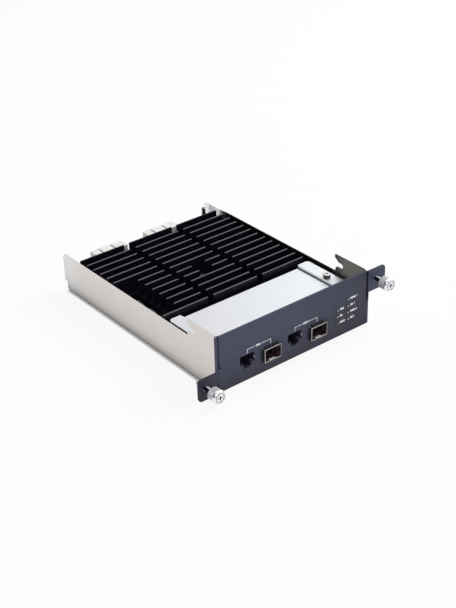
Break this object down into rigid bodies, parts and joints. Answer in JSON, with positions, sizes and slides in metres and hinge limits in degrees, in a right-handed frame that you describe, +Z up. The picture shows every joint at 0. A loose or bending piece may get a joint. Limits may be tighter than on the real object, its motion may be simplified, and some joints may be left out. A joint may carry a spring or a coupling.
{
  "type": "ethernet adapter card",
  "caption": "Plug-in network adapter module: hooked sheet-metal tray with finned heatsink, front panel with copper and transceiver ports, status lights and captive thumbscrews.",
  "frame": {"origin": "middle of the tray floor's underside", "axes": "+Z up, +Y from the front panel to the rear connectors, +X to the right seen from the front"},
  "size_m": [0.1704, 0.2042, 0.0448],
  "materials": {
    "bare_sheet": "bare galvanised sheet, satin",
    "panel_paint": "dark slate powder coat, satin",
    "nickel": "bright nickel plate, fluted grip",
    "steel_hardware": "zinc plated",
    "cage_metal": "bright tinned sheet",
    "black_anodised": "black anodised, milled fin tips",
    "board": "solder mask over glass laminate",
    "black_plastic": "moulded, fine grain",
    "gold_contact": "gold flashed",
    "pale_plastic": "moulded, off-white",
    "black_steel": "black oxide, turned",
    "pad_rubber": "soft silicone pad",
    "ferrite": "pressed powder, matt",
    "can_aluminium": "drawn can",
    "lens_green": "diffused resin, unlit",
    "lens_amber": "diffused resin, unlit",
    "lens_red": "diffused resin, unlit"
  },
  "bodies": {
    "module": {"tray": "bare_sheet", "cover_plate": "bare_sheet", "front_panel": "panel_paint", "ear_plate_left": "panel_paint", "ear_plate_right": "panel_paint", "board_standoffs": "steel_hardware", "board_screws": "steel_hardware", "cover_post_left": "steel_hardware", "cover_post_right": "steel_hardware", "cover_screws": "steel_hardware", "spring_screw": "steel_hardware", "clamp_spring": "steel_hardware", "clamp_nut": "steel_hardware", "heatsink_spacers": "steel_hardware", "heatsink_screws": "steel_hardware", "transceiver_cage_1": "cage_metal", "transceiver_cage_2": "cage_metal", "spring_collar_1": "cage_metal", "spring_collar_2": "cage_metal", "heatsink": "black_anodised", "circuit_board": "board", "copper_jack_1": "black_plastic", "copper_jack_2": "black_plastic", "cage_socket_1": "black_plastic", "cage_socket_2": "black_plastic", "light_holder_left": "black_plastic", "light_holder_right": "black_plastic", "controller_chip_1": "black_plastic", "controller_chip_2": "black_plastic", "port_transformer_1": "black_plastic", "port_transformer_2": "black_plastic", "jack_contacts_1": "gold_contact", "jack_contacts_2": "gold_contact", "socket_blades_1": "gold_contact", "socket_blades_2": "gold_contact", "rear_connector_1": "pale_plastic", "rear_connector_2": "pale_plastic", "guide_post": "black_steel", "thermal_pad_1": "pad_rubber", "thermal_pad_2": "pad_rubber", "power_inductors": "ferrite", "capacitors": "can_aluminium", "status_light_1": "lens_green", "status_light_4": "lens_green", "status_light_6": "lens_green", "status_light_2": "lens_amber", "status_light_5": "lens_amber", "status_light_7": "lens_amber", "status_light_3": "lens_red"},
    "clip_left": {"retaining_clip_left": "steel_hardware"},
    "screw_left": {"thumbscrew_left": "nickel"},
    "clip_right": {"retaining_clip_right": "steel_hardware"},
    "screw_right": {"thumbscrew_right": "nickel"}
  },
  "joints": [
    {"name": "screw_left_slide", "type": "slide", "parent": "module", "child": "clip_left", "axis": [0, 1, 0], "range_m": [0, 0.0063]},
    {"name": "screw_left_turn", "type": "hinge", "parent": "clip_left", "child": "screw_left", "pos_m": [-0.0782, -0.09535, 0.0091], "axis": [0, 1, 0], "continuous": true},
    {"name": "screw_right_slide", "type": "slide", "parent": "module", "child": "clip_right", "axis": [0, 1, 0], "range_m": [0, 0.0063]},
    {"name": "screw_right_turn", "type": "hinge", "parent": "clip_right", "child": "screw_right", "pos_m": [0.0767, -0.09535, 0.035], "axis": [0, 1, 0], "continuous": true}
  ]
}
